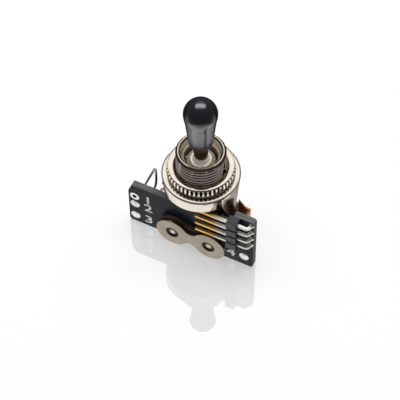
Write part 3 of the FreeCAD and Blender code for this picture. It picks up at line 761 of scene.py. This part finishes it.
def looped_wire():
    """Bare wire from a pad up behind the board in a tall loop and down onto the front leaf's lug."""
    bpy.ops.curve.primitive_nurbs_path_add(location=(0, 0, 0))
    wire = added("looped_wire")
    wire.data.splines.clear()
    radius, solid_radius = 0.3, 0.35
    lug_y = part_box("link_wire")[1][1] / MM - solid_radius
    route = [(-15.2, BOARD_BACK, -14.45), (-15.2, lug_y, -14.6), (-14.6, lug_y, -11.6), (-12.0, lug_y, -4.4),
             (-11.2, lug_y, -2.2), (-10.9, lug_y, -3.2), (-11.0, lug_y, -8.6), (-12.4, lug_y, -12.4),
             (-12.4, lug_y, -16.0)]
    spline = wire.data.splines.new("NURBS")
    spline.points.add(len(route) - 1)
    for point, place in zip(spline.points, route):
        point.co = (*mm(*place), 1.0)
    spline.use_endpoint_u = True
    spline.order_u = 3
    spline.resolution_u = 8
    wire.data.bevel_depth = radius * MM
    wire.data.bevel_resolution = 3
    wire.data.use_fill_caps = True
    pick(wire)
    bpy.ops.object.convert(target="MESH")
    return settle(bpy.context.active_object, 50)


finish_piece(looped_wire(), "switch_body", "tinned_wire", FINISH["tinned_wire"], "link_wire")


# Leaf springs cut across into rows


def springy(node, rows_from, rows_to, count):
    """A copy of a leaf or contact, merged and cut across into rows."""
    source = nodes[node]
    piece = bpy.data.objects.new(node + "_bending", source.data.copy())
    scene.collection.objects.link(piece)
    edit(piece)
    bpy.ops.mesh.select_all(action="SELECT")
    bpy.ops.mesh.remove_doubles(threshold=0.000001)
    for i in range(count):
        z = rows_from + (rows_to - rows_from) * i / (count - 1)
        bpy.ops.mesh.select_all(action="SELECT")
        bpy.ops.mesh.bisect(plane_co=mm(0, 0, z), plane_no=(0, 0, 1))
    close_edit()
    settle(piece, 35)
    finish_piece(piece, None, slot_of[node], FINISH[slot_of[node]])
    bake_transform(piece)
    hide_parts(node)
    return piece


for side in ("front", "rear"):
    springy(f"leaf_{side}_long", -10.4, -4.4, 13)
    springy(f"contact_{side}_long", -9.6, -7.9, 4)


# Print, pads and solder on the board


def pad_ring(name, x, z, outer, inner, y, towards):
    """Tinned ring round a hole: a disc with a bevelled rim and a hole, standing just proud of the board."""
    bpy.ops.mesh.primitive_circle_add(vertices=48, radius=outer * MM, fill_type="NGON", location=mm(x, y, z),
                                      rotation=(math.pi / 2, 0, 0))
    ring = added(name)
    edit(ring)
    bpy.ops.mesh.select_all(action="SELECT")
    bpy.ops.mesh.inset(thickness=(outer - inner) * MM)
    bpy.ops.mesh.delete(type="FACE")
    bpy.ops.mesh.select_all(action="SELECT")
    bpy.ops.mesh.extrude_region_move(TRANSFORM_OT_translate={"value": (0, towards * 0.06 * MM, 0)})
    bpy.ops.mesh.select_all(action="SELECT")
    bpy.ops.mesh.normals_make_consistent(inside=False)
    close_edit()
    settle(ring)
    soften = ring.modifiers.new("rim", "BEVEL")
    soften.width = 0.02 * MM
    soften.segments = 2
    soften.limit_method = "ANGLE"
    apply_all(ring)
    return finish_piece(ring, "switch_body", "solder", FINISH["solder"])


for i, (x, z) in enumerate(WIRE_PADS, 1):
    pad_ring(f"pad_ring_front_{i}", x, z, 1.25, 0.56, BOARD_FRONT, -1)
    pad_ring(f"pad_ring_back_{i}", x, z, 1.1, 0.56, BOARD_BACK, 1)


def printed(name, words, x, z, height):
    """White print on the board's front face."""
    bpy.ops.object.text_add(location=mm(x, BOARD_FRONT - 0.005, z), rotation=(math.pi / 2, 0, 0))
    obj = bpy.context.active_object
    obj.name = name
    obj.data.body = words
    obj.data.size = height * MM / 0.7
    obj.data.align_x = "CENTER"
    obj.data.align_y = "CENTER"
    obj.data.offset = 0.00006
    obj.scale.x = 1.25
    obj.data.extrude = 0.000012
    pick(obj)
    bpy.ops.object.convert(target="MESH")
    settle(obj)
    return finish_piece(obj, "switch_body", "solder", INK)


for words, x, z in (("1", -11.6, -11.2), ("2", -11.6, -14.4), ("3", -11.6, -19.0), ("4", 10.7, -18.55)):
    printed(f"pad_number_{words}", words, x, z, 2.7)


# Studio: pale glossy floor, softboxes overhead and a ceiling glow


def studio():
    """Floor, the softboxes and the glow of the ceiling round them."""
    azimuth = math.radians(VIEW_AZIMUTH)
    away = Vector((-math.sin(azimuth), math.cos(azimuth), 0))
    side = Vector((math.cos(azimuth), math.sin(azimuth), 0))

    def leaning(angle):
        """Direction that leans from the vertical away from the camera's side."""
        return away * math.sin(math.radians(angle)) + Vector((0, 0, math.cos(math.radians(angle))))

    bpy.ops.mesh.primitive_plane_add(size=6.0, location=(0, 0, (FLOOR - 0.01) * MM))
    floor = added("studio_floor")
    made, n, shader = material("pale acrylic floor")
    made.node_tree.nodes.remove(shader)
    shade = n.mix(n.noise(n.place(), 3.0, 2.0), (0.165, 0.166, 0.168, 1), (0.168, 0.169, 0.171, 1))
    body = n.add("ShaderNodeBsdfDiffuse")
    n.join(shade, body.inputs["Color"])
    glow = n.add("ShaderNodeEmission")
    glow.inputs["Color"].default_value = (0.99, 0.99, 1.0, 1)
    glow.inputs["Strength"].default_value = 0.5
    gloss = n.add("ShaderNodeBsdfGlossy")
    gloss.inputs["Color"].default_value = (0.21, 0.21, 0.21, 1)
    gloss.inputs["Roughness"].default_value = 0.03
    # Reflections and bounces see the floor as a painted glowing strip just in front of the object and painted
    # shadow behind it, and as painted shade after two glossy bounces.
    bounce = n.add("ShaderNodeEmission")
    behind = n.add("ShaderNodeVectorMath", operation="DOT_PRODUCT")
    n.join(n.place(), behind.inputs[0])
    behind.inputs[1].default_value = away
    near = n.span(behind.outputs["Value"], -0.042, -0.034)
    past = n.span(behind.outputs["Value"], 0.004, 0.016)
    strip = n.mix(near, (0.25, 0.25, 0.25, 1), (1.0, 0.99, 0.97, 1))
    painted_floor_light = n.mix(past, strip, (0.06, 0.055, 0.05, 1))
    seen = n.add("ShaderNodeLightPath")
    mirrored = n.math("GREATER_THAN", seen.outputs["Glossy Depth"], 1.5)
    n.join(n.mix(mirrored, painted_floor_light, (0.02, 0.02, 0.02, 1)), bounce.inputs["Color"])

    def summed(first, second):
        node = n.add("ShaderNodeAddShader")
        n.join(first.outputs[0], node.inputs[0])
        n.join(second.outputs[0], node.inputs[1])
        return node

    both = n.add("ShaderNodeMixShader")
    n.join(seen.outputs["Is Camera Ray"], both.inputs[0])
    n.join(bounce.outputs[0], both.inputs[1])
    n.join(summed(summed(body, glow), gloss).outputs[0], both.inputs[2])
    n.join(both.outputs[0], made.node_tree.nodes["Material Output"].inputs["Surface"])
    floor.data.materials.append(made)

    def lamp(name, radiance, size, depth, place, facing):
        """Soft rectangular lamp at a place, facing a direction, with its width across the view."""
        light = bpy.data.lights.new(name, "AREA")
        light.shape = "RECTANGLE"
        light.size, light.size_y = size, depth
        light.energy = radiance * math.pi * size * depth
        obj = bpy.data.objects.new(name, light)
        back = -facing
        turned = Matrix((side, back.cross(side), back)).transposed().to_4x4()
        turned.translation = place
        obj.matrix_world = turned
        scene.collection.objects.link(obj)
        return obj

    def lit_only(name, *pieces):
        """The pieces that a lamp shines on, where it is for a few of them."""
        chosen = bpy.data.collections.new(name)
        for piece in pieces:
            chosen.objects.link(piece)
        return chosen

    lamp_distance = 0.6
    over, high = leaning(11), leaning(17)
    overhead = lamp("overhead", 7.0, 0.9, 0.36, over * lamp_distance, -over)
    overhead.visible_glossy = False
    tip_only = lit_only("tip in the light", tip)
    tip_box = lamp("softbox_on_tip", 7.5, 0.62, 0.3, high * lamp_distance, -high)
    tip_box.light_linking.receiver_collection = tip_only
    neck_box = lamp("softbox_on_neck", 5.0, 0.9, 0.36, over * lamp_distance, -over)
    neck_box.light_linking.receiver_collection = lit_only("neck in the light", bushing, nodes["lever"])
    neck_box.visible_diffuse = False
    strip_place = -away * 0.046 + Vector((0, 0, (FLOOR + 0.5) * MM))
    strip_glow = lamp("floor_on_tip", 1.5, 0.09, 0.078, strip_place, Vector((0, 0, 1)))
    strip_glow.light_linking.receiver_collection = tip_only

    world = bpy.data.worlds.new("studio")
    scene.world = world
    world.use_nodes = True
    n = Nodes(world.node_tree)
    direction = n.add("ShaderNodeTexCoord").outputs["Generated"]

    def along(vector):
        node = n.add("ShaderNodeVectorMath", operation="DOT_PRODUCT")
        n.join(direction, node.inputs[0])
        node.inputs[1].default_value = vector
        return node.outputs["Value"]

    walls, ceiling = (0.20, 0.197, 0.195, 1), (1.04, 1.02, 0.995, 1)
    surroundings = n.mix(n.span(along(leaning(24)), 0.82, 0.89), walls, ceiling)
    seen = n.add("ShaderNodeLightPath")
    background = world.node_tree.nodes["Background"]
    backdrop = (0.86, 0.86, 0.87, 1)
    n.join(n.mix(seen.outputs["Is Camera Ray"], surroundings, backdrop), background.inputs["Color"])
    background.inputs["Strength"].default_value = 1.0
    scene.view_settings.view_transform = "Standard"
    scene.view_settings.look = "None"


def photo_camera():
    """Camera at the photograph's angle."""
    azimuth, elevation, roll = (math.radians(angle) for angle in (VIEW_AZIMUTH, VIEW_ELEVATION, VIEW_ROLL))
    back = Vector((math.sin(azimuth) * math.cos(elevation), -math.cos(azimuth) * math.cos(elevation),
                   math.sin(elevation)))
    right = Vector((math.cos(azimuth), math.sin(azimuth), 0))
    up = back.cross(right)
    right_rolled = right * math.cos(roll) + up * math.sin(roll)
    up_rolled = up * math.cos(roll) - right * math.sin(roll)
    data = bpy.data.cameras.new("camera")
    data.sensor_width = 36.0
    data.lens = 135.696
    data.clip_start, data.clip_end = 0.01, 20.0
    camera = bpy.data.objects.new("camera", data)
    matrix = Matrix((right_rolled, up_rolled, back)).transposed().to_4x4()
    aim, distance = mm(0.112, -0.989, -9.45), 0.360775
    matrix.translation = aim + back * distance
    camera.matrix_world = matrix
    scene.collection.objects.link(camera)
    scene.camera = camera


studio()
photo_camera()
